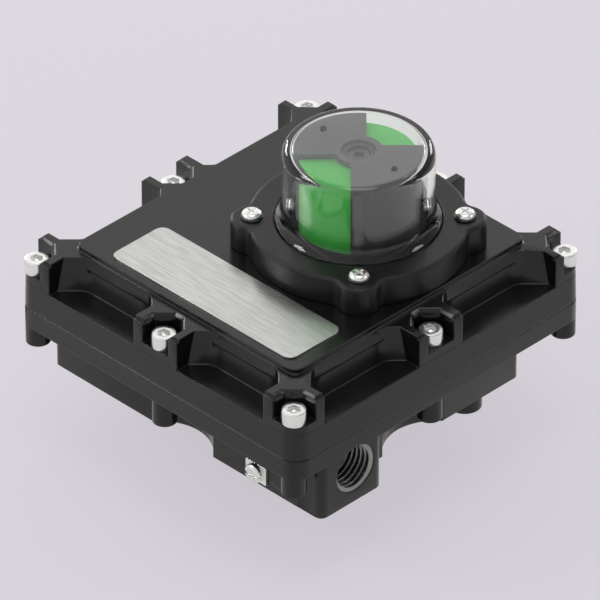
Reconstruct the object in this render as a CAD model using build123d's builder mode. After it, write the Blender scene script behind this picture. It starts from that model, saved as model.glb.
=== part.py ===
"""Valve limit switch box with a rotating position indicator under a clear dome.

Frame: origin on the drive shaft's axis, in the plane of the four mounting feet.
+Z is up, -Y is the front (the nameplate reads from there), +X is the cable entry side.
Units are millimetres.
"""
import math
import os

from build123d import *

os.makedirs("parts", exist_ok=True)

# ---- heights, counted from 5 mm above the feet's ends ----
foot_drop = 5.0        # every part is saved this much higher, with the feet's ends at 0
z_floor_out = 10.3     # underside of the base's body
z_floor_in = 15.5      # cavity floor
z_flange = 35.7        # underside of the base's flange
z_joint = 44.7         # joint between base and lid
z_rim = 56.9           # top of the lid's rim, the floor of the side pockets
z_seat = 60.7          # seats of the cover screws
z_band = 66.3          # lower edge of the platform's sloping band
z_step = 71.1          # upper edge of the band
z_collar = 71.0        # tops of the screw collars
z_top = 73.1           # platform
z_pad = 76.0           # pad under the dome, inside the retainer
z_lip = 79.5           # underside of the retainer's lip
z_ret = 85.5           # top of the retainer
z_dome = 118.7         # top of the dome

# ---- outline of lid and flange, about the centre of the cover screws ----
ctr = (-17.0, -15.0)
box_x, box_y, box_r = 155.4, 161.0, 7.8
edge = 0.4             # bevel that shows the joint between lid and base as a line
bolt_x, bolt_y = 71.5, 75.2
draft = 1.4
plat_x, plat_y = 61.2, 64.3
mids = [(0, -bolt_y, 0), (bolt_x, 0, 90), (0, bolt_y, 180), (-bolt_x, 0, 270)]
corners = [(bolt_x, -bolt_y), (bolt_x, bolt_y), (-bolt_x, bolt_y), (-bolt_x, -bolt_y)]
bolts = [(ctr[0] + x, ctr[1] + y) for x, y in [(m[0], m[1]) for m in mids] + corners]

# ---- base ----
wall_left, wall_right, wall_front, wall_back = -71.8, 64.6, -66.4, 57.8
wall_t = 6.0
boss_r, boss_depth, corner_depth = 5.0, 20.0, 17.5
scallop_r, scallop_d = 21.6, 8.3
foot_x, foot_y, foot_r = 30.0, 30.0, 7.0
entry_x, entry_y, entry_z, entry_r = 60.5, -62.4, 26.85, 10.3
earth_x, earth_z = 26.1, 18.0
seal_x, seal_y, seal_w, seal_d = 131.2, 138.0, 2.8, 1.8

# ---- indicator ----
ret_r, lobe_r, lobe_pitch = 43.8, 8.6, 41.8
neck_r, dome_r, dome_bore, dome_top_t = 33.2, 30.15, 25.8, 1.6
lobes = [(lobe_pitch * math.cos(math.radians(a)), lobe_pitch * math.sin(math.radians(a)))
         for a in (45, 135, 225, 315)]
mask_r, mask_skirt_r, mask_hole = 25.5, 24.4, 6.9
mask_edge = 3.1        # the windows' edges stand this far off the diagonals
z_mask = 116.6
rotor_r, z_rotor_top = 23.3, 113.7

# ---- shaft ----
end_r, shaft_r = 6.0, 6.5   # free end below the base, journal above
bush_r = 9.5
run = 0.05             # radial running clearance

# ---- cams and switches ----
cam_r, cam_rise, cam_t = 14.0, 1.2, 8.0
cam_a_z, cam_b_z = 34.6, 46.6
sw_x, sw_y, sw_t = 15.9, 27.8, 10.3
sw_cx = -35.0
sw_a_z, sw_b_z = 33.5, 45.5
pivot_x, pivot_y = -24.4, 12.0
lever_reach, lever_drop, tip_r = 7.7, 12.0, 2.6


def save(builder, label):
    part = builder.part.moved(Location((0, 0, foot_drop)))
    part.label = label
    export_step(part, f"parts/{label}.step")


# Base housing: deep tray with a flange, screw bosses, cable entry block and four feet.
body_x, body_y = wall_right - wall_left, wall_back - wall_front
body_at = (ctr[0] + (wall_right + wall_left) / 2, ctr[1] + (wall_back + wall_front) / 2)
scoops = [(ctr[0] + 0.9, ctr[1] + wall_front - scallop_r + scallop_d),
          (ctr[0] + wall_right + scallop_r - scallop_d, ctr[1] - 2.4),
          (ctr[0] + wall_left - scallop_r + scallop_d, ctr[1])]
with BuildPart() as base_housing:
    with BuildSketch(Plane.XY.offset(z_joint - edge)):
        with Locations(ctr):
            RectangleRounded(box_x, box_y, box_r)
    extrude(amount=-(z_joint - z_flange - edge), taper=draft)
    with BuildSketch(Plane.XY.offset(z_joint - edge)):
        with Locations(ctr):
            RectangleRounded(box_x, box_y, box_r)
    extrude(amount=edge, taper=45)
    with BuildSketch(Plane.XY.offset(z_floor_out)):
        with Locations(body_at):
            RectangleRounded(body_x, body_y, 2.8)
        # block round the threaded cable entry, flush with the flange
        with Locations(((entry_x + 40.0) / 2, -64.15)):
            RectangleRounded(entry_x - 40.0, 34.3, 4)
        with Locations((42.0, ctr[1] + wall_front + 10), (42.0, -64.15)):
            Rectangle(12.0, 20.0)
        # arcs scooped out of the walls round the middle screws
        with Locations(scoops):
            Circle(scallop_r, mode=Mode.SUBTRACT)
    extrude(amount=z_flange - z_floor_out + 1)
    chamfer(faces().sort_by(Axis.Z)[0].edges(), 1.1)
    # bosses under the cover screws, longer at the middles of the sides
    for places, depth in ((bolts[:4], boss_depth), (bolts[4:], corner_depth)):
        with BuildSketch(Plane.XY.offset(z_joint - depth)):
            with Locations(places):
                Circle(boss_r)
        extrude(amount=depth - 1)
    # hub round the shaft, and the feet
    with BuildSketch(Plane.XY.offset(8.0)):
        Circle(15.0)
    extrude(amount=z_floor_in - 8.0)
    with BuildSketch(Plane.XY.offset(-foot_drop)):
        with GridLocations(2 * foot_x, 2 * foot_y, 2, 2):
            Circle(foot_r)
    extrude(amount=z_floor_in + foot_drop)
    # cavity, with the scooped walls kept thick inside
    with BuildSketch(Plane.XY.offset(z_floor_in)):
        with Locations(body_at):
            RectangleRounded(body_x - 2 * wall_t, body_y - 2 * wall_t, 2.4)
        with Locations(scoops):
            Circle(scallop_r + 5.5, mode=Mode.SUBTRACT)
    extrude(amount=z_joint - z_floor_in, mode=Mode.SUBTRACT)
    # inner hub, posts for the switch bracket, pad for the inner earth screw
    with BuildSketch(Plane.XY.offset(z_floor_in - 1)):
        Circle(13.0)
    extrude(amount=25.0 - z_floor_in + 1)
    with BuildSketch(Plane.XY.offset(z_floor_in - 1)):
        with Locations((-47.0, 13.0), (-47.0, -13.0)):
            Circle(4.5)
    extrude(amount=31.5 - z_floor_in + 1)
    with BuildSketch(Plane.XY.offset(z_floor_in - 1)):
        with Locations((30.0, -40.0)):
            Circle(5.5)
    extrude(amount=5.0)
    # shaft bore, cable entry, tapped holes
    with BuildSketch(Plane.XY.offset(8.0)):
        Circle(bush_r)
    extrude(amount=30.0, mode=Mode.SUBTRACT)
    with BuildSketch(Plane.YZ.offset(entry_x + 1)):
        with Locations((entry_y, entry_z)):
            Circle(entry_r)
    extrude(amount=-26.0, mode=Mode.SUBTRACT)
    with BuildSketch(Plane.XY.offset(z_joint)):
        with Locations(bolts):
            Circle(3.05)
    extrude(amount=-15.5, mode=Mode.SUBTRACT)
    with BuildSketch(Plane.XY.offset(-foot_drop)):
        with GridLocations(2 * foot_x, 2 * foot_y, 2, 2):
            Circle(2.5)
    extrude(amount=14.0, mode=Mode.SUBTRACT)
    with BuildSketch(Plane.XY.offset(31.5)):
        with Locations((-47.0, 13.0), (-47.0, -13.0)):
            Circle(2.05)
    extrude(amount=-9.0, mode=Mode.SUBTRACT)
    with BuildSketch(Plane.XY.offset(z_floor_in + 4.0)):
        with Locations((30.0, -40.0)):
            Circle(2.05)
    extrude(amount=-6.0, mode=Mode.SUBTRACT)
    with BuildSketch(Plane.XZ.offset(-(ctr[1] + wall_front) - 5.0)):
        with Locations((earth_x, earth_z)):
            Circle(2.05)
    extrude(amount=6.0, mode=Mode.SUBTRACT)
    # groove for the cover seal
    with BuildSketch(Plane.XY.offset(z_joint)):
        with Locations(ctr):
            RectangleRounded(seal_x + seal_w, seal_y + seal_w, 8)
            RectangleRounded(seal_x - seal_w, seal_y - seal_w, 6, mode=Mode.SUBTRACT)
    extrude(amount=-seal_d, mode=Mode.SUBTRACT)
save(base_housing, "base_housing")

# Lid: drafted rim with open screw collars joined by ribs to a raised platform.
ox, oy = box_x / 2 - bolt_x, box_y / 2 - bolt_y
foot_side = 3.2        # the platform's wall leans out to this at the rim
with BuildPart() as lid:
    with BuildSketch(Plane.XY.offset(z_joint + edge)):
        with Locations(ctr):
            RectangleRounded(box_x, box_y, box_r)
    extrude(amount=z_rim - z_joint - edge, taper=draft)
    with BuildSketch(Plane.XY.offset(z_joint + edge)):
        with Locations(ctr):
            RectangleRounded(box_x, box_y, box_r)
    extrude(amount=-edge, taper=45)
    # leaning wall: octagonal shoulders behind the collars, hollow corners between them
    with BuildSketch(Plane.XY.offset(z_rim)) as wall:
        with Locations(ctr):
            Rectangle(2 * (plat_x + foot_side), 2 * (plat_y + foot_side))
        for x, y, turn in mids:
            with Locations(Location((ctr[0] + x, ctr[1] + y, 0), (0, 0, turn))):
                with BuildLine(mode=Mode.PRIVATE) as shoulder:
                    Polyline((-10.5, -0.3), (10.5, -0.3), (22.8, 12.0), (-22.8, 12.0), close=True)
                add(make_face(shoulder.line, mode=Mode.PRIVATE))
        for x, y in corners:
            sx, sy = math.copysign(1, x), math.copysign(1, y)
            with Locations((ctr[0] + x, ctr[1] + y)):
                with BuildLine(mode=Mode.PRIVATE) as shoulder:
                    Polyline(*[(sx * u, sy * v) for u, v in
                               [(-10.5, 1.7), (2.0, -10.9), (-14.0, -26.9), (-26.5, -14.3)]],
                             close=True)
                add(make_face(shoulder.line, mode=Mode.PRIVATE))
        inner = [v for v in wall.vertices()
                 if abs(abs(v.X - ctr[0]) - plat_x - foot_side) < 0.01
                 or abs(abs(v.Y - ctr[1]) - plat_y - foot_side) < 0.01]
        fillet(inner, 8.0)
    extrude(amount=z_collar - z_rim, taper=10.5)
    with BuildSketch(Plane.XY.offset(z_band)):
        with Locations(ctr):
            RectangleRounded(2 * (plat_x + 2.4), 2 * (plat_y + 2.4), 6)
    extrude(amount=z_step - z_band, taper=22.6)
    with BuildSketch(Plane.XY.offset(z_step - 1)):
        with Locations(ctr):
            RectangleRounded(2 * plat_x, 2 * plat_y, 4)
    extrude(amount=z_top - z_step + 1)
    # open collars round the screws, flush with the rim's drafted sides
    with BuildSketch(Plane.XY.offset(z_rim - 1)) as collars:
        for x, y, turn in mids:
            out = oy if x == 0 else ox
            with Locations(Location((ctr[0] + x, ctr[1] + y, 0), (0, 0, turn))):
                with BuildLine(mode=Mode.PRIVATE) as collar:
                    Polyline((-12, -out), (12, -out), (12, 5.4), (6.5, 11.0), (-6.5, 11.0),
                             (-12, 5.4), close=True)
                add(make_face(collar.line, mode=Mode.PRIVATE))
        for x, y in corners:
            sx, sy = math.copysign(1, x), math.copysign(1, y)
            pts = [(ox, oy), (-11.9, oy), (-11.9, -3.9), (-5.0, -10.8), (ox, -10.8)]
            with Locations((ctr[0] + x, ctr[1] + y)):
                with BuildLine(mode=Mode.PRIVATE) as corner:
                    Polyline(*[(sx * u, sy * v) for u, v in pts], close=True)
                add(make_face(corner.line, mode=Mode.PRIVATE))
        with Locations(ctr):
            RectangleRounded(box_x - 0.7, box_y - 0.7, box_r - 0.3, mode=Mode.INTERSECT)
    extrude(amount=z_collar - z_rim + 1)
    # bevel on the outer shoulders of the collars
    with BuildSketch(Plane.XY.offset(z_collar + 0.01)):
        with Locations(ctr):
            Rectangle(box_x + 20, box_y + 20)
            RectangleRounded(box_x - 3.4, box_y - 3.4, 6, mode=Mode.SUBTRACT)
    extrude(amount=-1.4, taper=-0.01, mode=Mode.SUBTRACT)
    # wells round the screws, open to the outside, each with a bevelled upper edge
    for x, y, turn in mids:
        for grow, top, deep, lean in ((0, z_collar, z_collar - z_seat, 0),
                                      (1.4, z_collar + 0.01, 1.4, 45)):
            w, b, f = 7.2 + grow, 7.5 + grow, 1.7 + grow * 0.41
            with BuildSketch(Plane.XY.offset(top)):
                with Locations(Location((ctr[0] + x, ctr[1] + y, 0), (0, 0, turn))):
                    with BuildLine(mode=Mode.PRIVATE) as well:
                        Polyline((-w, -12), (w, -12), (w, b - w + f), (f, b), (-f, b),
                                 (-w, b - w + f), close=True)
                    add(make_face(well.line, mode=Mode.PRIVATE))
            extrude(amount=-deep, taper=lean, mode=Mode.SUBTRACT)
    for x, y in corners:
        sx, sy = math.copysign(1, x), math.copysign(1, y)
        for grow, top, deep, lean in ((0, z_collar, z_collar - z_seat, 0),
                                      (1.4, z_collar + 0.01, 1.4, 45)):
            i, j, c = 6.75 + grow, 6.4 + grow, 1.8 + grow * 0.41
            pts = [(12, 12), (-i, 12), (-i, -c), (-c, -j), (12, -j)]
            with BuildSketch(Plane.XY.offset(top)):
                with Locations((ctr[0] + x, ctr[1] + y)):
                    with BuildLine(mode=Mode.PRIVATE) as well:
                        Polyline(*[(sx * u, sy * v) for u, v in pts], close=True)
                    add(make_face(well.line, mode=Mode.PRIVATE))
            extrude(amount=-deep, taper=lean, mode=Mode.SUBTRACT)
    # pad inside the retainer
    with BuildSketch(Plane.XY.offset(z_top - 1)):
        Circle(38.0)
    extrude(amount=z_pad - z_top + 1)
    # hollow inside, hub for the upper bush, pillars for the retainer screws
    with BuildSketch(Plane.XY.offset(z_joint)):
        with Locations(ctr):
            RectangleRounded(2 * 57.5, 2 * 60.5, 8)
    extrude(amount=23.9, mode=Mode.SUBTRACT)
    with BuildSketch(Plane.XY.offset(62.0)):
        Circle(14.0)
        with Locations(lobes):
            Circle(5.0)
    extrude(amount=10.0)
    with BuildSketch(Plane.XY.offset(60.0)):
        Circle(bush_r)
    extrude(amount=30.0, mode=Mode.SUBTRACT)
    with BuildSketch(Plane.XY.offset(z_pad)):
        Circle(37.0)
        Circle(34.0, mode=Mode.SUBTRACT)
    extrude(amount=-1.6, mode=Mode.SUBTRACT)
    with BuildSketch(Plane.XY.offset(z_top)):
        with Locations(lobes):
            Circle(2.05)
    extrude(amount=-9.0, mode=Mode.SUBTRACT)
    with BuildSketch(Plane.XY.offset(z_joint)):
        with Locations(bolts):
            Circle(3.3)
    extrude(amount=z_seat - z_joint, mode=Mode.SUBTRACT)
save(lid, "lid")

# Cover seal lying in the base's groove.
with BuildPart() as lid_seal:
    with BuildSketch(Plane.XY.offset(z_joint)):
        with Locations(ctr):
            RectangleRounded(seal_x + seal_w - 0.1, seal_y + seal_w - 0.1, 8)
            RectangleRounded(seal_x - seal_w + 0.1, seal_y - seal_w + 0.1, 6, mode=Mode.SUBTRACT)
    extrude(amount=-seal_d)
save(lid_seal, "lid_seal")

# Eight M6 socket cap screws that hold the lid down.
with BuildPart() as lid_screws:
    with BuildSketch(Plane.XY.offset(z_seat)):
        with Locations(bolts):
            Circle(5.0)
    extrude(amount=6.0)
    chamfer(faces().filter_by(Axis.Z).sort_by(Axis.Z)[-8:].edges(), 0.5)
    with BuildSketch(Plane.XY.offset(z_seat + 6.0)):
        with Locations(bolts):
            RegularPolygon(2.9, 6)
    extrude(amount=-3.2, mode=Mode.SUBTRACT)
    with BuildSketch(Plane.XY.offset(z_seat)):
        with Locations(bolts):
            Circle(3.0)
    extrude(amount=-30.0)
save(lid_screws, "lid_screws")

# Retainer: round collar with four screw lobes on the diagonals, clamping the dome's foot.
with BuildPart() as dome_retainer:
    with BuildSketch(Plane.XY.offset(z_top)) as outline:
        Circle(ret_r)
        with Locations(lobes):
            Circle(lobe_r)
        fillet(outline.vertices(), 4.0)
    extrude(amount=z_ret - z_top)
    chamfer(faces().sort_by(Axis.Z)[-1].edges(), 0.8)
    with BuildSketch(Plane.XY.offset(z_top)):
        Circle(38.15)
    extrude(amount=z_lip - z_top, mode=Mode.SUBTRACT)
    with BuildSketch(Plane.XY.offset(z_lip)):
        Circle(neck_r)
    extrude(amount=z_ret - z_lip, mode=Mode.SUBTRACT)
    with BuildSketch(Plane.XY.offset(z_top)):
        with Locations(lobes):
            Circle(2.15)
    extrude(amount=z_ret - z_top, mode=Mode.SUBTRACT)
save(dome_retainer, "dome_retainer")

# Seal under the dome's foot.
with BuildPart() as dome_seal:
    with BuildSketch(Plane.XY.offset(z_pad)):
        Circle(36.95)
        Circle(34.05, mode=Mode.SUBTRACT)
    extrude(amount=-1.6)
save(dome_seal, "dome_seal")

# Clear dome: thick round wall with a flat top, flared into a foot the retainer clamps.
with BuildPart() as dome:
    with BuildSketch(Plane.XZ):
        with BuildLine():
            Polyline((dome_bore, z_pad), (37.8, z_pad), (37.8, z_lip), (33.0, z_lip),
                     (33.0, z_ret + 0.3), (dome_r + 0.8, z_ret + 1.2), (dome_r, z_ret + 3.3),
                     (dome_r, z_dome - 0.9), (dome_r - 0.9, z_dome), (0, z_dome),
                     (0, z_dome - dome_top_t), (dome_bore, z_dome - dome_top_t),
                     (dome_bore, z_pad))
        make_face()
    revolve(axis=Axis.Z)
    with BuildSketch(Plane.XY.offset(z_dome - dome_top_t)):
        with Locations((19.5, 0), (-19.5, 0)):
            Circle(1.25)
    extrude(amount=0.8, mode=Mode.SUBTRACT)
save(dome, "dome")

# Four M4 pan head screws and their washers on the retainer's lobes.
with BuildPart() as retainer_washers:
    with BuildSketch(Plane.XY.offset(z_ret)):
        with Locations(lobes):
            Circle(4.4)
            Circle(2.15, mode=Mode.SUBTRACT)
    extrude(amount=0.8)
save(retainer_washers, "retainer_washers")

with BuildPart() as retainer_screws:
    with BuildSketch(Plane.XY.offset(z_ret + 0.8)):
        with Locations(lobes):
            Circle(4.0)
    extrude(amount=2.2)
    chamfer(faces().filter_by(Axis.Z).sort_by(Axis.Z)[-4:].edges(), 0.8)
    with BuildSketch(Plane.XY.offset(z_ret + 0.8)):
        with Locations(lobes):
            Circle(2.0)
    extrude(amount=-19.0)
save(retainer_screws, "retainer_screws")

# Black mask inside the dome: two opposite quadrants with skirts, joined by a ring.
with BuildPart() as indicator_mask:
    with BuildSketch(Plane.XY.offset(z_mask - 2.2)):
        Circle(mask_r)
        with Locations((0, 0, 0)):
            for turn in (90, 270):
                with BuildLine(mode=Mode.PRIVATE) as window:
                    c, s = math.cos(math.radians(turn)), math.sin(math.radians(turn))
                    corner = mask_edge * math.sqrt(2)
                    Polyline(*[(c * u - s * v, s * u + c * v) for u, v in
                               ((corner, 0), (corner + 40, 40), (corner + 40, -40))], close=True)
                add(make_face(window.line, mode=Mode.PRIVATE), mode=Mode.SUBTRACT)
        Circle(9.6)
    extrude(amount=2.2)
    for r_out, z_low, z_high in ((mask_skirt_r, 86.6, z_mask - 1), (mask_skirt_r - 0.5, 82.6, 88.0)):
        with BuildSketch(Plane.XY.offset(z_low)):
            Circle(r_out)
            Circle(mask_skirt_r - 1.0, mode=Mode.SUBTRACT)
            for turn in (90, 270):
                with BuildLine(mode=Mode.PRIVATE) as window:
                    c, s = math.cos(math.radians(turn)), math.sin(math.radians(turn))
                    corner = mask_edge * math.sqrt(2)
                    Polyline(*[(c * u - s * v, s * u + c * v) for u, v in
                               ((corner, 0), (corner + 40, 40), (corner + 40, -40))], close=True)
                add(make_face(window.line, mode=Mode.PRIVATE), mode=Mode.SUBTRACT)
        extrude(amount=z_high - z_low)
    with BuildSketch(Plane.XY.offset(z_mask - 2.2)):
        Circle(mask_hole)
        with Locations((19.5, 0), (-19.5, 0)):
            Circle(1.25)
    extrude(amount=2.2, mode=Mode.SUBTRACT)
save(indicator_mask, "indicator_mask")

# Two pins that hang the mask from the dome's ceiling.
with BuildPart() as mask_pins:
    with BuildSketch(Plane.XY.offset(z_mask - 2.2)):
        with Locations((19.5, 0), (-19.5, 0)):
            Circle(1.2)
    extrude(amount=z_dome - dome_top_t - z_mask + 2.9)
save(mask_pins, "mask_pins")

# Rotor core: hub on the shaft with a floor disc that carries the colour quadrants.
with BuildPart() as rotor_core:
    with BuildSketch(Plane.XY.offset(80.0)):
        Circle(rotor_r)
    extrude(amount=2.0)
    with BuildSketch(Plane.XY.offset(78.0)):
        Circle(6.4)
    extrude(amount=115.4 - 78.0)
    with BuildSketch(Plane.XY.offset(78.0)):
        Circle(4.5)
    extrude(amount=30.0, mode=Mode.SUBTRACT)
    with BuildSketch(Plane.XY.offset(115.4)):
        Circle(4.7)
    extrude(amount=-4.4, mode=Mode.SUBTRACT)
    with BuildSketch(Plane.XY.offset(112.0)):
        Circle(2.6)
    extrude(amount=-6.0, mode=Mode.SUBTRACT)
save(rotor_core, "rotor_core")

# Colour quadrants: each a curved wall with a flat top, green on +-Y and red on +-X.
for label, start in (("rotor_green", 90), ("rotor_red", 0)):
    with BuildPart() as quadrants:
        for turn in (start, start + 180):
            with BuildSketch(Plane.XY.offset(82.0)):
                with BuildLine():
                    lo, hi = turn - 44.9, turn + 44.9
                    CenterArc((0, 0), rotor_r, lo, hi - lo)
                    CenterArc((0, 0), 6.5, lo, hi - lo)
                    for a in (lo, hi):
                        c, s = math.cos(math.radians(a)), math.sin(math.radians(a))
                        Line((6.5 * c, 6.5 * s), (rotor_r * c, rotor_r * s))
                make_face()
            extrude(amount=z_rotor_top - 82.0)
        with BuildSketch(Plane.XY.offset(82.0)):
            Circle(rotor_r - 2.0)
        extrude(amount=z_rotor_top - 84.0, mode=Mode.SUBTRACT)
    save(quadrants, label)

# Socket screw that fixes the rotor to the shaft's end.
with BuildPart() as rotor_screw:
    with BuildSketch(Plane.XY.offset(111.0)):
        Circle(4.4)
    extrude(amount=3.2)
    with BuildSketch(Plane.XY.offset(114.2)):
        RegularPolygon(2.3, 6)
    extrude(amount=-2.0, mode=Mode.SUBTRACT)
    with BuildSketch(Plane.XY.offset(111.0)):
        Circle(2.5)
    extrude(amount=-11.0)
save(rotor_screw, "rotor_screw")

# Drive shaft: one spindle from below the base up into the rotor's hub.
with BuildPart() as drive_shaft:
    with BuildSketch(Plane.XZ):
        with BuildLine():
            Polyline((0, -15), (5.2, -15), (end_r, -14.2), (end_r, 7.0), (5.6, 7.0), (5.6, 8.0),
                     (shaft_r, 8.0), (shaft_r, 26.6), (5.8, 26.6), (5.8, 27.8), (shaft_r, 27.8),
                     (shaft_r, 77.5), (4.4, 78.0), (4.4, 107.5), (0, 107.5), (0, -15))
        make_face()
    revolve(axis=Axis.Z)
    with BuildSketch(Plane.XY.offset(107.5)):
        Circle(2.55)
    extrude(amount=-9.0, mode=Mode.SUBTRACT)
    with BuildSketch(Plane.XY.offset(-15.0)):
        Rectangle(20.0, 3.0)
    extrude(amount=3.0, mode=Mode.SUBTRACT)
save(drive_shaft, "drive_shaft")

# Flanged bronze bushes in the base's floor and in the lid.
with BuildPart() as lower_bush:
    with BuildSketch(Plane.XY.offset(8.0)):
        Circle(bush_r - 0.02)
        Circle(shaft_r + run, mode=Mode.SUBTRACT)
    extrude(amount=25.0 - 8.0)
save(lower_bush, "lower_bush")

with BuildPart() as upper_bush:
    with BuildSketch(Plane.XY.offset(62.0)):
        Circle(bush_r - 0.02)
        Circle(shaft_r + run, mode=Mode.SUBTRACT)
    extrude(amount=z_pad - 62.0)
save(upper_bush, "upper_bush")

# Thrust washer and circlip that carry the shaft on the lower bush.
with BuildPart() as thrust_washer:
    with BuildSketch(Plane.XY.offset(25.0)):
        Circle(10.5)
        Circle(shaft_r + run, mode=Mode.SUBTRACT)
    extrude(amount=1.5)
save(thrust_washer, "thrust_washer")

with BuildPart() as shaft_circlip:
    with BuildSketch(Plane.XY.offset(26.65)):
        Circle(9.0)
        Circle(5.85, mode=Mode.SUBTRACT)
        with Locations((8, 0)):
            Rectangle(8, 5, mode=Mode.SUBTRACT)
    extrude(amount=1.1)
save(shaft_circlip, "shaft_circlip")

# Two cams on the shaft: each rim rises steadily over a quarter turn.
for label, z_cam, way in (("cam_lower", cam_a_z, 1), ("cam_upper", cam_b_z, -1)):
    with BuildPart() as cam:
        with BuildSketch(Plane.XY.offset(z_cam)):
            with BuildLine():
                rim = []
                for k in range(37):
                    a = 60.0 + 150.0 * k / 36
                    part = min(max((a - 90.0) / 90.0, 0.0), 1.0)
                    share = 1.0 - part if way == 1 else part
                    r = cam_r + cam_rise * share
                    rim.append((r * math.cos(math.radians(a)), r * math.sin(math.radians(a))))
                Spline(*rim)
                far = cam_r - 1.0
                away = [(far * math.cos(math.radians(a)), far * math.sin(math.radians(a)))
                        for a in (225, 315, 405)]
                ThreePointArc(*away)
                Line(rim[0], away[2])
                Line(rim[-1], away[0])
            make_face()
            Circle(shaft_r + 0.02, mode=Mode.SUBTRACT)
        extrude(amount=cam_t)
    save(cam, label)

# Coil spring's sleeve that keeps the cams apart on the shaft.
with BuildPart() as cam_sleeve:
    with BuildSketch(Plane.XY.offset(cam_a_z + cam_t)):
        Circle(9.0)
        Circle(shaft_r + 0.02, mode=Mode.SUBTRACT)
    extrude(amount=cam_b_z - cam_a_z - cam_t)
save(cam_sleeve, "cam_sleeve")

with BuildPart() as cam_collars:
    with BuildSketch(Plane.XY.offset(27.9)):
        Circle(9.0)
        Circle(shaft_r + 0.02, mode=Mode.SUBTRACT)
    extrude(amount=cam_a_z - 27.9)
    with BuildSketch(Plane.XY.offset(cam_b_z + cam_t)):
        Circle(9.0)
        Circle(shaft_r + 0.02, mode=Mode.SUBTRACT)
    extrude(amount=4.0)
save(cam_collars, "cam_collars")

# Bracket: folded plate on two posts, carrying the switches.
with BuildPart() as switch_bracket:
    with BuildSketch(Plane.XY.offset(31.5)):
        with Locations((-37.0, 0)):
            RectangleRounded(30.0, 38.0, 3.0)
        with Locations((-47.0, 13.0), (-47.0, -13.0)):
            Circle(2.15, mode=Mode.SUBTRACT)
        with Locations((-39.5, 10.0), (-39.5, -10.0)):
            Circle(1.55, mode=Mode.SUBTRACT)
    extrude(amount=2.0)
save(switch_bracket, "switch_bracket")

with BuildPart() as bracket_screws:
    with BuildSketch(Plane.XY.offset(33.5)):
        with Locations((-47.0, 13.0), (-47.0, -13.0)):
            Circle(3.6)
    extrude(amount=2.4)
    with BuildSketch(Plane.XY.offset(33.5)):
        with Locations((-47.0, 13.0), (-47.0, -13.0)):
            Circle(2.0)
    extrude(amount=-10.0)
save(bracket_screws, "bracket_screws")

# Two snap switches, one above the other, each with a plunger slot facing the shaft.
for label, z_sw in (("switch_lower", sw_a_z), ("switch_upper", sw_b_z)):
    with BuildPart() as switch:
        with BuildSketch(Plane.XY.offset(z_sw)):
            with Locations((sw_cx, 0)):
                RectangleRounded(sw_x, sw_y, 1.0)
            with Locations((-39.5, 10.0), (-39.5, -10.0)):
                Circle(1.6, mode=Mode.SUBTRACT)
        extrude(amount=sw_t)
        # pressed plunger, three connection tags, ears and pin for the lever
        with BuildSketch(Plane.XY.offset(z_sw + 3.5)):
            with Locations((sw_cx + sw_x / 2, -1.0)):
                Rectangle(1.4, 3.0)
        extrude(amount=3.3)
        with BuildSketch(Plane.XY.offset(z_sw + 2.0)):
            with GridLocations(1, 6.5, 1, 3):
                with Locations((sw_cx - sw_x / 2 - 3.0, 0)):
                    Rectangle(6.4, 0.8)
        extrude(amount=6.3)
        for z_ear in (z_sw + 1.9, z_sw + 7.4):
            with BuildSketch(Plane.XY.offset(z_ear)):
                with Locations(((pivot_x + sw_cx + sw_x / 2) / 2, pivot_y)):
                    Rectangle(pivot_x - sw_cx - sw_x / 2 + 3.4, 3.2)
            extrude(amount=1.0)
        with BuildSketch(Plane.XY.offset(z_sw + 2.0)):
            with Locations((pivot_x, pivot_y)):
                Circle(0.75)
        extrude(amount=6.0)
    save(switch, label)

with BuildPart() as switch_spacer:
    with BuildSketch(Plane.XY.offset(sw_a_z + sw_t)):
        with Locations((sw_cx, 0)):
            Rectangle(sw_x - 1, sw_y - 1)
        with Locations((-39.5, 10.0), (-39.5, -10.0)):
            Circle(1.6, mode=Mode.SUBTRACT)
    extrude(amount=sw_b_z - sw_a_z - sw_t)
save(switch_spacer, "switch_spacer")

with BuildPart() as switch_screws:
    with BuildSketch(Plane.XY.offset(sw_b_z + sw_t)):
        with Locations((-39.5, 10.0), (-39.5, -10.0)):
            Circle(2.7)
    extrude(amount=2.0)
    with BuildSketch(Plane.XY.offset(sw_b_z + sw_t)):
        with Locations((-39.5, 10.0), (-39.5, -10.0)):
            Circle(1.5)
    extrude(amount=-(sw_b_z + sw_t - 31.5))
save(switch_screws, "switch_screws")

# Levers: leaf arms pivoted at one end of each switch, bearing on the cams.
for label, z_sw, lean in (("lever_lower", sw_a_z, 0.0), ("lever_upper", sw_b_z, 6.0)):
    with BuildPart() as lever:
        with BuildSketch(Plane.XY.offset(z_sw + 3.0)):
            with Locations(Location((pivot_x, pivot_y, 0), (0, 0, -lean))):
                Circle(1.6)
                with Locations((0, -lever_drop / 2)):
                    Rectangle(1.0, lever_drop + 1.4)
                with Locations((lever_reach / 2, -lever_drop)):
                    Rectangle(lever_reach, 1.4)
                with Locations((lever_reach, -lever_drop)):
                    Circle(tip_r)
                Circle(0.8, mode=Mode.SUBTRACT)
        extrude(amount=4.3)
    save(lever, label)

# Terminal strip with barriers, and its clamp screws.
with BuildPart() as terminal_strip:
    with BuildSketch(Plane.XY.offset(z_floor_in)):
        with Locations((-26.0, -55.5)):
            Rectangle(76.0, 22.0)
    extrude(amount=10.0)
    with BuildSketch(Plane.XY.offset(z_floor_in)):
        with Locations((-26.0, -55.5)):
            with GridLocations(9.0, 1, 9, 1):
                Rectangle(1.6, 22.0)
    extrude(amount=17.0)
    with BuildSketch(Plane.XY.offset(z_floor_in)):
        with Locations((-26.0, -55.5)):
            Rectangle(73.6, 3.0)
    extrude(amount=17.0)
    with BuildSketch(Plane.XY.offset(z_floor_in + 10.0)):
        with Locations((-26.0, -55.5)):
            with GridLocations(9.0, 11.6, 8, 2):
                Circle(1.55)
    extrude(amount=-6.0, mode=Mode.SUBTRACT)
save(terminal_strip, "terminal_strip")

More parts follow.
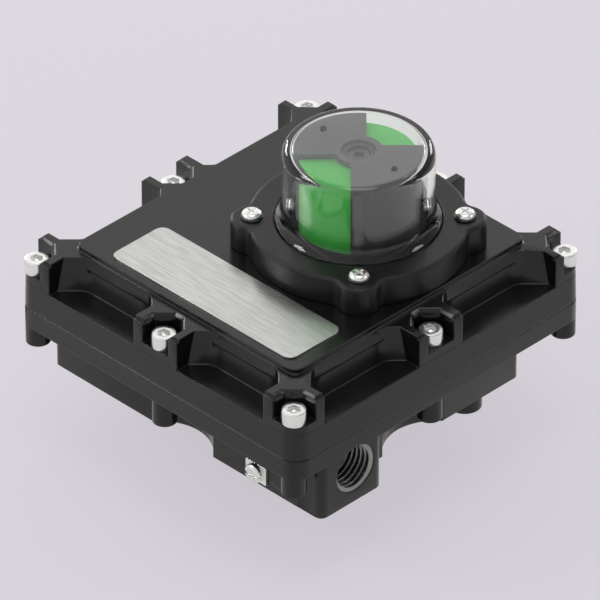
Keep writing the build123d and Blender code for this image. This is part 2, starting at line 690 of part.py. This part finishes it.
with BuildPart() as terminal_screws:
    with BuildSketch(Plane.XY.offset(z_floor_in + 10.0)):
        with Locations((-26.0, -55.5)):
            with GridLocations(9.0, 11.6, 8, 2):
                Circle(2.8)
    extrude(amount=2.2)
    with BuildSketch(Plane.XY.offset(z_floor_in + 10.0)):
        with Locations((-26.0, -55.5)):
            with GridLocations(9.0, 11.6, 8, 2):
                Circle(1.5)
    extrude(amount=-5.5)
save(terminal_screws, "terminal_screws")

# Earth screw inside the cavity.
with BuildPart() as inner_earth_screw:
    with BuildSketch(Plane.XY.offset(z_floor_in + 4.0)):
        with Locations((30.0, -40.0)):
            Circle(4.0)
    extrude(amount=2.6)
    with BuildSketch(Plane.XY.offset(z_floor_in + 4.0)):
        with Locations((30.0, -40.0)):
            Circle(2.0)
    extrude(amount=-5.5)
save(inner_earth_screw, "inner_earth_screw")

# Outer earth screw with its square clamp on the front wall.
wall_y = ctr[1] + wall_front
with BuildPart() as earth_clamp:
    with BuildSketch(Plane.XZ.offset(-wall_y)):
        with Locations((earth_x, earth_z)):
            Rectangle(11.2, 8.2)
            Circle(2.15, mode=Mode.SUBTRACT)
    extrude(amount=1.6)
save(earth_clamp, "earth_clamp")

with BuildPart() as earth_screw:
    with BuildSketch(Plane.XZ.offset(-wall_y + 1.6)):
        with Locations((earth_x, earth_z)):
            Circle(4.2)
    extrude(amount=3.0)
    chamfer(faces().sort_by(Axis.Y)[0].edges(), 0.8)
    with BuildSketch(Plane.XZ.offset(-wall_y + 4.6)):
        with Locations((earth_x, earth_z)):
            Rectangle(9.0, 1.1)
    extrude(amount=-1.2, mode=Mode.SUBTRACT)
    with BuildSketch(Plane.XZ.offset(-wall_y + 1.6)):
        with Locations((earth_x, earth_z)):
            Circle(2.0)
    extrude(amount=-6.0)
save(earth_screw, "earth_screw")

# Nameplate lying on the platform in front of the indicator.
with BuildPart() as nameplate:
    with BuildSketch(Plane.XY.offset(z_top)):
        with Locations((ctr[0] + 4.8, ctr[1] - 46.1)):
            RectangleRounded(100.0, 29.0, 4.0)
    extrude(amount=0.8)
save(nameplate, "nameplate")
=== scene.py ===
import bmesh
import bpy
import math
import numpy as np
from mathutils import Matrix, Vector


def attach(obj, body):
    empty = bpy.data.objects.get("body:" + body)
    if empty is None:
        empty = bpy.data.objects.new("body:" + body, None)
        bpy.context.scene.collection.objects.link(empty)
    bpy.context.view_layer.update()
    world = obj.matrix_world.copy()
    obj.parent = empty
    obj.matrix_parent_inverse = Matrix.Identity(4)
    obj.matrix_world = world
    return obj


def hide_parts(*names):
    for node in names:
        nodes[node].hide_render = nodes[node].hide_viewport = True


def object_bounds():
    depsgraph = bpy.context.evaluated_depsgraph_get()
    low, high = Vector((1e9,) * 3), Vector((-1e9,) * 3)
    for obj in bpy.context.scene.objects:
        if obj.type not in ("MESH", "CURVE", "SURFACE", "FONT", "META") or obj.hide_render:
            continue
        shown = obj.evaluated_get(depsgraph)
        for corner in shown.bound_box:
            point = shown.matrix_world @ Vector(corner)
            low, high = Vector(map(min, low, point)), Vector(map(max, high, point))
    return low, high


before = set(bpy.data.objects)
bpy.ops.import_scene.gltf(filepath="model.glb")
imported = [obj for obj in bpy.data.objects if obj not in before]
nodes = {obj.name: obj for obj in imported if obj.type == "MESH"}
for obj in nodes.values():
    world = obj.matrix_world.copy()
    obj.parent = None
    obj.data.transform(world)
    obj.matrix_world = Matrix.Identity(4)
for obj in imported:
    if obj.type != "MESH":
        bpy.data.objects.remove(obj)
cad_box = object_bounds()

# ---- Studio ----
# A pale seamless floor in a white tent, a weak broad panel behind the box and one overhead, four
# small panels at its sides that draw thin lines along its edges, and a long lens on one corner.
target = Vector((-0.0172, -0.0152, 0.0495))
back = Vector((1.0, -1.0, 1.0)).normalized()
camera_distance = 4.0
camera_data = bpy.data.cameras.new("studio_camera")
camera_data.lens = 608.4
camera_data.sensor_width = 36.0
camera_data.clip_end = 50.0
camera = bpy.data.objects.new("studio_camera", camera_data)
camera.location = target + back * camera_distance
camera.rotation_euler = back.to_track_quat("Z", "Y").to_euler()
bpy.context.scene.collection.objects.link(camera)
bpy.context.scene.camera = camera


def studio_lamp(name, place, size, watts):
    """A square panel at place, size metres wide, turned so that it shines at the box."""
    data = bpy.data.lights.new(name, "AREA")
    data.size = size
    data.energy = watts
    lamp = bpy.data.objects.new(name, data)
    lamp.location = place
    lamp.rotation_euler = (Vector(place) - target).to_track_quat("Z", "Y").to_euler()
    bpy.context.scene.collection.objects.link(lamp)


studio_lamp("panel_back", (-1.15, 1.15, 1.25), 1.5, 3.0)
studio_lamp("panel_top", (0.1, -0.1, 1.9), 0.8, 6.0)
studio_lamp("panel_left", (-1.35, -1.35, 1.35), 0.5, 7.0)
studio_lamp("panel_right", (1.35, 1.35, 1.35), 0.5, 3.5)
studio_lamp("strip_left", (-1.86, 0.45, 0.70), 0.55, 9.0)
studio_lamp("strip_right", (-0.45, 1.86, 0.70), 0.55, 7.0)

world = bpy.data.worlds.new("studio_tent")
world.use_nodes = True
sky = world.node_tree.nodes
tent = sky["Background"]
tent.inputs["Color"].default_value = (1.0, 1.0, 0.99, 1.0)
direction = sky.new("ShaderNodeTexCoord")
leftward = sky.new("ShaderNodeVectorMath")
leftward.operation = "DOT_PRODUCT"
leftward.inputs[1].default_value = (-0.707, -0.707, 0.0)
world.node_tree.links.new(direction.outputs["Generated"], leftward.inputs[0])
share = sky.new("ShaderNodeMapRange")
share.inputs["From Min"].default_value = -1.0
share.inputs["From Max"].default_value = 1.0
share.inputs["To Min"].default_value = 0.34
share.inputs["To Max"].default_value = 0.90
world.node_tree.links.new(leftward.outputs["Value"], share.inputs["Value"])
world.node_tree.links.new(share.outputs["Result"], tent.inputs["Strength"])
bpy.context.scene.world = world
bpy.context.scene.view_settings.view_transform = "Standard"

floor_z = cad_box[0][2] - 0.0005
floor_radius, floor_corners = 6.0, 96
bearings = np.linspace(0.0, 2.0 * math.pi, floor_corners + 1)[:-1]
floor_rim = np.stack([floor_radius * np.cos(bearings), floor_radius * np.sin(bearings),
                      np.full(floor_corners, floor_z)], axis=1)
floor_mesh = bpy.data.meshes.new("floor")
floor_mesh.from_pydata(floor_rim.tolist(), [], [list(range(floor_corners))])
floor = bpy.data.objects.new("floor", floor_mesh)
bpy.context.scene.collection.objects.link(floor)


def finish(name, colour, roughness, metallic=0.0, specular=0.5, cloud=0.02, spread=0.12,
           grain=0.0008, depth=0.00002, stretch=(1.0, 1.0, 1.0), worn=0.0, streaks=False):
    """A Principled material with surface detail.

    Clouds of noise, cloud metres wide, vary colour and roughness by the share spread. A finer
    noise, grain metres wide and pulled out by stretch, raises the surface by depth metres.
    Where worn is above 0, the shading runs round every edge as if it had that radius in metres.
    With streaks, the finer noise varies the colour in place of the clouds.
    """
    material = bpy.data.materials.new(name)
    material.use_nodes = True
    tree = material.node_tree
    shader = tree.nodes["Principled BSDF"]
    shader.inputs["Metallic"].default_value = metallic
    shader.inputs["Specular IOR Level"].default_value = specular
    place = tree.nodes.new("ShaderNodeTexCoord")
    clouds = tree.nodes.new("ShaderNodeTexNoise")
    clouds.inputs["Scale"].default_value = 1.0 / cloud
    clouds.inputs["Detail"].default_value = 4.0
    clouds.inputs["Roughness"].default_value = 0.6
    tree.links.new(place.outputs["Object"], clouds.inputs["Vector"])
    tone = tree.nodes.new("ShaderNodeMix")
    tone.data_type = "RGBA"
    tone.inputs[6].default_value = (*[c * (1.0 - spread) for c in colour], 1.0)
    tone.inputs[7].default_value = (*[min(c * (1.0 + spread), 1.0) for c in colour], 1.0)
    tree.links.new(clouds.outputs["Fac"], tone.inputs[0])
    tree.links.new(tone.outputs[2], shader.inputs["Base Color"])
    matt = tree.nodes.new("ShaderNodeMapRange")
    matt.inputs["From Min"].default_value = 0.3
    matt.inputs["From Max"].default_value = 0.7
    matt.inputs["To Min"].default_value = roughness * (1.0 - spread)
    matt.inputs["To Max"].default_value = roughness * (1.0 + spread)
    tree.links.new(clouds.outputs["Fac"], matt.inputs["Value"])
    tree.links.new(matt.outputs["Result"], shader.inputs["Roughness"])
    pull = tree.nodes.new("ShaderNodeMapping")
    pull.inputs["Scale"].default_value = stretch
    fine = tree.nodes.new("ShaderNodeTexNoise")
    fine.inputs["Scale"].default_value = 1.0 / grain
    fine.inputs["Detail"].default_value = 2.0
    relief = tree.nodes.new("ShaderNodeBump")
    relief.inputs["Strength"].default_value = 1.0
    relief.inputs["Distance"].default_value = depth
    tree.links.new(place.outputs["Object"], pull.inputs["Vector"])
    tree.links.new(pull.outputs["Vector"], fine.inputs["Vector"])
    tree.links.new(fine.outputs["Fac"], relief.inputs["Height"])
    if streaks:
        tree.links.new(fine.outputs["Fac"], tone.inputs[0])
    if worn > 0.0:
        corner = tree.nodes.new("ShaderNodeBevel")
        corner.samples = 6
        corner.inputs["Radius"].default_value = worn
        tree.links.new(corner.outputs["Normal"], relief.inputs["Normal"])
    tree.links.new(relief.outputs["Normal"], shader.inputs["Normal"])
    return material


# The floor is pale paper. To the lens, to metal and to glass three quarters of it shows one even
# pale tone, and the last quarter stays plain paper that keeps the box's soft shadow.
floor_paper = finish("floor_paper", (0.66, 0.635, 0.68), 0.9, specular=0.05, cloud=0.4,
                     spread=0.01, grain=0.004, depth=0.00002)
tree = floor_paper.node_tree
rays = tree.nodes.new("ShaderNodeLightPath")
seen = rays.outputs["Is Camera Ray"]
for kind in ("Is Glossy Ray", "Is Transmission Ray"):
    either = tree.nodes.new("ShaderNodeMath")
    either.operation = "MAXIMUM"
    tree.links.new(seen, either.inputs[0])
    tree.links.new(rays.outputs[kind], either.inputs[1])
    seen = either.outputs["Value"]
even = tree.nodes.new("ShaderNodeMath")
even.operation = "MULTIPLY"
even_share = 0.75
even.inputs[1].default_value = even_share
tree.links.new(seen, even.inputs[0])
tint = tree.nodes.new("ShaderNodeMix")
tint.data_type = "RGBA"
tint.inputs[6].default_value = (0.72, 0.72, 0.70, 1.0)
tint.inputs[7].default_value = (0.722, 0.680, 0.744, 1.0)
tree.links.new(rays.outputs["Is Camera Ray"], tint.inputs[0])
pale = tree.nodes.new("ShaderNodeEmission")
tree.links.new(tint.outputs[2], pale.inputs["Color"])
both = tree.nodes.new("ShaderNodeMixShader")
tree.links.new(even.outputs["Value"], both.inputs["Fac"])
tree.links.new(tree.nodes["Principled BSDF"].outputs["BSDF"], both.inputs[1])
tree.links.new(pale.outputs["Emission"], both.inputs[2])
tree.links.new(both.outputs["Shader"], tree.nodes["Material Output"].inputs["Surface"])
floor_mesh.materials.append(floor_paper)

# ---- Castings: base and lid ----
# Die-cast aluminium under satin black powder paint, which rounds every edge a little. The lid
# sits on the base's flange with a thin dark joint all round.


def eased(node, name, body, material, width):
    """A CAD node as one skin: doubled points merged, flat faces joined, edges rounded by width.

    Edges that turn by more than 28 degrees get the rounding, and faces below it shade smoothly.
    """
    angle = math.radians(28.0)
    mesh = nodes[node].data.copy()
    mesh.name = name
    skin = bmesh.new()
    skin.from_mesh(mesh)
    bmesh.ops.remove_doubles(skin, verts=skin.verts, dist=2e-6)
    bmesh.ops.dissolve_limit(skin, angle_limit=math.radians(0.2), use_dissolve_boundaries=False,
                             verts=skin.verts, edges=skin.edges)
    for face in skin.faces:
        face.smooth = True
    skin.to_mesh(mesh)
    skin.free()
    mesh.materials.clear()
    mesh.materials.append(material)
    mesh.set_sharp_from_angle(angle=angle)
    piece = bpy.data.objects.new(name, mesh)
    bpy.context.scene.collection.objects.link(piece)
    edge = piece.modifiers.new("rounded_edges", "BEVEL")
    edge.width = width
    edge.segments = 2
    edge.limit_method = "ANGLE"
    edge.angle_limit = angle
    edge.use_clamp_overlap = True
    edge.harden_normals = True
    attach(piece, body)
    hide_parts(node)


black_paint = finish("black_paint", (0.005, 0.005, 0.0048), 0.23, specular=0.45, cloud=0.03,
                     spread=0.14, grain=0.0007, depth=0.000014, worn=0.0009)
cast_edge = 0.0005
eased("lid", "lid_casting", "housing", black_paint, cast_edge)
eased("base_housing", "base_casting", "housing", black_paint, cast_edge)

# ---- Dome retainer ----
# Cast aluminium ring with four screw lobes, in a slightly lighter dark grey paint. Its four
# screws go down into the lid, and it presses on the dome's foot.
grey_paint = finish("grey_paint", (0.007, 0.007, 0.0068), 0.36, specular=0.36, cloud=0.02,
                    spread=0.14, grain=0.0007, depth=0.000014, worn=0.0018)
eased("dome_retainer", "retainer_ring", "housing", grey_paint, cast_edge)

# ---- Cover screws ----
# Eight M6 socket cap screws of zinc plated steel. They stand in the lid's open collars and
# reach down into the base's bosses.


def surface(name, grid, places, body, material, replaced=(), rows_close=False, angle=35.0):
    """Four-sided faces over a grid of points (rows, around, 3), repeated at every place.

    The around direction closes on itself, and so do the rows where rows_close. Points that fall
    together at a pole are merged, and all faces are turned outwards.
    """
    rows, around = grid.shape[:2]
    places = np.asarray(places, float)
    points = (grid[None] + places[:, None, None, :]).reshape(-1, 3)
    i = np.arange(rows if rows_close else rows - 1)[:, None]
    k = np.arange(around)[None, :]
    j, n = (i + 1) % rows, (k + 1) % around
    quads = np.stack([i * around + k, i * around + n, j * around + n, j * around + k], axis=-1)
    quads = quads.reshape(-1, 4)
    faces = (quads[None] + (np.arange(len(places)) * rows * around)[:, None, None]).reshape(-1, 4)
    mesh = bpy.data.meshes.new(name)
    mesh.from_pydata(points.tolist(), [], faces.tolist())
    skin = bmesh.new()
    skin.from_mesh(mesh)
    bmesh.ops.remove_doubles(skin, verts=skin.verts, dist=1e-7)
    bmesh.ops.recalc_face_normals(skin, faces=skin.faces)
    for face in skin.faces:
        face.smooth = True
    skin.to_mesh(mesh)
    skin.free()
    mesh.set_sharp_from_angle(angle=math.radians(angle))
    mesh.materials.append(material)
    piece = bpy.data.objects.new(name, mesh)
    bpy.context.scene.collection.objects.link(piece)
    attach(piece, body)
    if replaced:
        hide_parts(*replaced)


def turned(line, around=96, hexed=None, turn=0.0):
    """A line of (radius, height) points turned about the z axis, in millimetres.

    Where hexed is above 0 the ring is drawn in towards a hexagon of the same corner radius, as
    r cos 30 / cos((a mod 60) - 30).
    """
    line = np.asarray(line, float)
    a = np.linspace(0.0, 2.0 * math.pi, around + 1)[None, :-1]
    r = line[:, :1] * np.ones_like(a)
    if hexed is not None:
        share = np.asarray(hexed, float)[:, None]
        flat = math.cos(math.pi / 6) / np.cos(np.mod(a, math.pi / 3) - math.pi / 6)
        r = r * (1.0 - share + share * flat)
    z = line[:, 1:] * np.ones_like(a)
    return np.stack([r * np.cos(a + turn), r * np.sin(a + turn), z], axis=-1) / 1000.0


bright_zinc = finish("bright_zinc", (0.86, 0.86, 0.85), 0.26, metallic=1.0, cloud=0.004,
                     spread=0.16, grain=0.0003, depth=0.000004)
centre_x, centre_y, bolt_x, bolt_y, seat_z = -0.017, -0.015, 0.0715, 0.0752, 0.0657
cover_places = [(centre_x + x * bolt_x, centre_y + y * bolt_y, seat_z)
                for x in (-1, 0, 1) for y in (-1, 0, 1) if x or y]
cap_line = [(0.0, -30.0), (2.5, -30.0), (3.0, -29.4), (3.0, -0.02), (4.7, 0.0), (4.95, 0.12),
            (5.0, 0.4), (5.0, 5.2), (4.93, 5.6), (4.75, 5.88), (4.45, 6.0), (2.95, 6.0),
            (2.7, 5.9), (2.6, 5.7), (2.58, 3.6), (2.1, 3.35), (0.0, 3.3)]
cap_hex = [0, 0, 0, 0, 0, 0, 0, 0, 0, 0, 0, 0, 1, 1, 1, 0.8, 0]
socket_turn = 0.3
surface("cover_screws", turned(cap_line, 72, cap_hex, socket_turn), cover_places, "housing",
        bright_zinc, ["lid_screws"])

# ---- Retainer screws and washers ----
# Four M4 pan head screws of zinc plated steel with a cross recess, one through each lobe of
# the retainer, each over a dull steel washer.


def driven_head(radius, crown, rim, arm, reach, deep, slotted=False):
    """A screw head as heights over a disc, in millimetres.

    The crown falls to the rim as the fifth power of the radius. A cross (or one slot) of half
    width arm and half length reach is pressed in by deep, with steep smooth sides. The shank
    below is a plain round.
    """
    around, rings = 120, 44
    side_width, end_width = 0.22, 0.5
    chamfer, shank_r, shank_length = 0.12, 2.0, 4.0
    a = np.linspace(0.0, 2.0 * math.pi, around + 1)[None, :-1]
    r = (np.linspace(0.0, 1.0, rings) ** 0.85 * radius)[:, None]
    x, y = r * np.cos(a), r * np.sin(a)
    height = rim + (crown - rim) * (1.0 - (r / radius) ** 5) + 0.0 * a
    thin, long = np.minimum(np.abs(x), np.abs(y)), np.maximum(np.abs(x), np.abs(y))
    if slotted:
        thin, long = np.abs(y), np.abs(x)
    side = np.clip((arm - thin) / side_width + 0.5, 0.0, 1.0)
    end = np.clip((reach - long) / end_width + 0.5, 0.0, 1.0)
    press = side * side * (3 - 2 * side) * end * end * (3 - 2 * end)
    top = np.stack([x, y, height - deep * press], axis=-1)
    skirt = np.stack([x[-1] * np.ones((3, 1)), y[-1] * np.ones((3, 1)),
                      np.array([[chamfer], [0.0], [0.0]]) + 0.0 * a], axis=-1)
    skirt[2, :, :2] *= shank_r / radius
    skirt[1, :, :2] *= (radius - chamfer) / radius
    foot = np.stack([skirt[2, :, 0], skirt[2, :, 1], np.full(around, -shank_length)], axis=-1)[None]
    return np.vstack([top, skirt, foot, foot * [0.0, 0.0, 1.0]]) / 1000.0


lobe_pitch, lobe_top, washer_drop = 41.8, 0.0913, 0.0008
lobe = lobe_pitch / math.sqrt(2.0) / 1000.0
lobe_places = [(x * lobe, y * lobe, lobe_top) for x in (-1, 1) for y in (-1, 1)]
surface("retainer_pan_screws", driven_head(4.0, 2.15, 0.9, 0.34, 2.0, 0.8), lobe_places, "housing",
        bright_zinc, ["retainer_screws"])
dark_steel = finish("dark_steel", (0.10, 0.10, 0.10), 0.38, metallic=1.0, cloud=0.003, spread=0.2,
                    grain=0.0003, depth=0.000006)
ring_line = [(2.2, 0.0), (4.3, 0.0), (4.4, 0.12), (4.4, 0.66), (4.26, 0.78), (2.3, 0.78),
             (2.2, 0.66)]
surface("retainer_dark_washers", turned(ring_line, 64), np.array(lobe_places) - [0, 0, washer_drop],
        "housing", dark_steel, ["retainer_washers"], rows_close=True)

# ---- Dome ----
# Clear polycarbonate, moulded in one: round wall, flat top with a soft outer edge, and a flared
# foot that the retainer clamps. The wall is 1.1 mm thinner than the solid's, for a clearer view
# of the rotor through it.


def rounded_line(corners, cuts, steps=5):
    """An open line through corners whose inner corners are replaced by parabola arcs.

    Each arc starts and ends at its cut distance from the corner, and its middle point is drawn
    halfway to the corner, as B(t) = (1-t)^2 a + 2t(1-t) c + t^2 b.
    """
    corners, cuts = np.asarray(corners, float), np.asarray(cuts, float)[:, None]
    c = corners[1:-1]
    into, out = corners[:-2] - c, corners[2:] - c
    a = c + into / np.linalg.norm(into, axis=1, keepdims=True) * cuts
    b = c + out / np.linalg.norm(out, axis=1, keepdims=True) * cuts
    t = np.linspace(0.0, 1.0, steps)[None, :, None]
    arcs = (1 - t) ** 2 * a[:, None] + 2 * t * (1 - t) * c[:, None] + t ** 2 * b[:, None]
    return np.vstack([corners[:1], arcs.reshape(-1, 2), corners[-1:]])


dome_line = rounded_line(
    [(0.0, 118.7), (30.15, 118.7), (30.15, 88.4), (33.0, 85.6), (33.0, 79.5), (37.8, 79.5),
     (37.8, 76.0), (26.9, 76.0), (26.9, 117.1), (0.0, 117.1)],
    [4.4, 3.0, 0.6, 0.3, 0.3, 0.3, 0.3, 1.8], 12)
clear_polycarbonate = finish("clear_polycarbonate", (0.985, 0.99, 0.99), 0.02, cloud=0.03,
                             spread=0.01, grain=0.009, depth=0.00001)
glass = clear_polycarbonate.node_tree.nodes["Principled BSDF"]
glass.inputs["Transmission Weight"].default_value = 1.0
glass.inputs["IOR"].default_value = 1.5
glass.inputs["Specular IOR Level"].default_value = 0.35
dome_lift = 0.005
surface("clear_dome", turned(dome_line, 192), [(0, 0, dome_lift)], "housing",
        clear_polycarbonate, ["dome"], angle=60.0)

# ---- Position indicator ----
# A grey moulded mask hangs under the dome's top; the rotor behind its two windows is moulded in
# green and red quarters on a grey core and turns with the shaft.
mask_plastic = finish("mask_plastic", (0.10, 0.10, 0.098), 0.5, cloud=0.01, spread=0.06,
                      grain=0.0006, depth=0.000002)
eased("indicator_mask", "mask", "housing", mask_plastic, 0.0003)
core_plastic = finish("core_plastic", (0.03, 0.03, 0.03), 0.4, cloud=0.01, spread=0.1,
                      grain=0.0006, depth=0.00001)
eased("rotor_core", "core", "shaft", core_plastic, 0.0002)
green_plastic = finish("green_plastic", (0.085, 0.68, 0.10), 0.32, specular=0.2, cloud=0.012,
                       spread=0.06, grain=0.0012, depth=0.00001)
eased("rotor_green", "green_quarters", "shaft", green_plastic, 0.0003)
red_plastic = finish("red_plastic", (0.60, 0.03, 0.02), 0.32, cloud=0.012, spread=0.06,
                     grain=0.0012, depth=0.00001)
eased("rotor_red", "red_quarters", "shaft", red_plastic, 0.0003)


def dress(material, *names):
    """Gives CAD nodes one material in every slot."""
    for name in names:
        holder = nodes[name]
        if not holder.material_slots:
            holder.data.materials.append(material)
        for entry in holder.material_slots:
            entry.material = material


pin_plastic = finish("pin_plastic", (0.012, 0.012, 0.012), 0.4, cloud=0.003, grain=0.0004)
dress(pin_plastic, "mask_pins")
dress(dark_steel, "rotor_screw")

# ---- Nameplate ----
# Thin aluminium plate with round corners, brushed along its length and glued to the platform.
# Its face is left bare, with no print or stamping.
brushed_plate = finish("brushed_plate", (0.56, 0.56, 0.545), 0.34, metallic=1.0, cloud=0.03,
                       spread=0.34, grain=0.0007, depth=0.00003, stretch=(0.06, 1.0, 1.0),
                       worn=0.0003, streaks=True)
eased("nameplate", "plate", "housing", brushed_plate, 0.00015)

# ---- Cable entry ----
# Helical thread cut in the entry block's bore, down to bare metal. It has 11 turns to the inch,
# coarser than the 14 of a standard half inch pipe thread.
entry_x, entry_y, entry_z = 0.0605, -0.0624, 0.03185
pitch, root_r, crest_r, outer_r = 2.309, 10.2, 8.7, 10.28
thread_length, thread_around, mouth_gap = 17.0, 144, 0.4
lead_in, lead_out, flank, flat_root = 0.5, 1.0, 1.35, 0.12
bore_x = np.linspace(0.0, thread_length, 190)
a = np.linspace(0.0, 2.0 * math.pi, thread_around + 1)[None, :-1]
turns = np.mod(bore_x[:, None] / pitch - a / (2.0 * math.pi), 1.0)
crest = np.clip(flank * (1.0 - np.abs(2.0 * turns - 1.0)) - flat_root, 0.0, 1.0)
start = np.clip(bore_x / lead_in, 0.0, 1.0)[:, None]
fade = np.clip((thread_length - bore_x) / lead_out, 0.0, 1.0)[:, None]
bore_r = root_r - (root_r - crest_r) * crest * (start * fade)
bore_r = np.vstack([bore_r, np.full((2, thread_around), outer_r)])
bore_x = np.concatenate([bore_x, [thread_length, 0.0]])[:, None] + 0.0 * a
thread_grid = np.stack([-bore_x - mouth_gap, bore_r * np.cos(a), bore_r * np.sin(a)], axis=-1) / 1000.0
cut_metal = finish("cut_metal", (0.30, 0.30, 0.30), 0.30, metallic=1.0, cloud=0.006, spread=0.2,
                   grain=0.0004, depth=0.000006)
surface("entry_thread", thread_grid, [(entry_x, entry_y, entry_z)], "housing",
        cut_metal, rows_close=True, angle=50.0)

# ---- Outer earth screw ----
# Square clamp and slotted pan head screw of zinc plated steel. The screw holds the clamp to
# the base's front wall, ready to take an earth wire.
eased("earth_clamp", "clamp_plate", "housing", bright_zinc, 0.0003)
earth_place = (0.0261, -0.0830, 0.0230)
upright_head = driven_head(4.2, 2.9, 1.6, 0.5, 6.0, 1.2, slotted=True)
front_head = upright_head[..., [0, 2, 1]] * [1.0, -1.0, 1.0]
surface("earth_slotted_screw", front_head, [earth_place], "housing", bright_zinc,
        ["earth_screw"])

# ---- Shaft and bushes ----
# Turned stainless spindle that runs in two plain bronze rings, one in the base and one in the
# lid. A thrust washer and a spring clip carry it on the lower one.
turned_steel = finish("turned_steel", (0.58, 0.58, 0.58), 0.28, metallic=1.0, cloud=0.006,
                      spread=0.1, grain=0.0005, depth=0.000006, stretch=(0.05, 0.05, 1.0))
dress(turned_steel, "drive_shaft", "thrust_washer", "cam_collars")
bush_bronze = finish("bush_bronze", (0.55, 0.36, 0.16), 0.34, metallic=1.0, cloud=0.005,
                     spread=0.14, grain=0.0004, depth=0.000006)
dress(bush_bronze, "lower_bush", "upper_bush")
spring_steel = finish("spring_steel", (0.42, 0.42, 0.44), 0.3, metallic=1.0, cloud=0.004,
                      spread=0.12, grain=0.0003, depth=0.000004)
dress(spring_steel, "shaft_circlip", "lever_lower", "lever_upper")

# ---- Cams and switches ----
# Moulded nylon cams with a grey sleeve between them on the shaft. Two moulded snap switches,
# with a spacer between them, are screwed to a zinc plated bracket.
cam_nylon = finish("cam_nylon", (0.62, 0.46, 0.04), 0.42, cloud=0.008, spread=0.08,
                   grain=0.0008, depth=0.00001)
dress(cam_nylon, "cam_lower", "cam_upper")
dress(core_plastic, "cam_sleeve", "switch_spacer")
switch_plastic = finish("switch_plastic", (0.02, 0.02, 0.022), 0.48, cloud=0.01, spread=0.1,
                        grain=0.0004, depth=0.00001)
dress(switch_plastic, "switch_lower", "switch_upper")
plated_sheet = finish("plated_sheet", (0.60, 0.60, 0.56), 0.34, metallic=1.0, cloud=0.004,
                      spread=0.18, grain=0.0006, depth=0.000005)
dress(plated_sheet, "switch_bracket")
dress(bright_zinc, "bracket_screws", "switch_screws", "inner_earth_screw")

# ---- Terminal strip ----
# Cream moulded barrier strip inside the base, with sixteen plated brass clamp screws in two
# rows of eight.
strip_moulding = finish("strip_moulding", (0.62, 0.58, 0.46), 0.5, cloud=0.012, spread=0.06,
                        grain=0.0006, depth=0.00001)
dress(strip_moulding, "terminal_strip")
plated_brass = finish("plated_brass", (0.66, 0.52, 0.26), 0.28, metallic=1.0, cloud=0.003,
                      spread=0.14, grain=0.0003, depth=0.000004)
dress(plated_brass, "terminal_screws")

# ---- Seals ----
# Black moulded rubber rings. One lies in the base's groove under the lid and one under the
# dome's foot.
seal_rubber = finish("seal_rubber", (0.02, 0.02, 0.02), 0.6, cloud=0.01, spread=0.1,
                     grain=0.0005, depth=0.00001)
dress(seal_rubber, "lid_seal", "dome_seal")
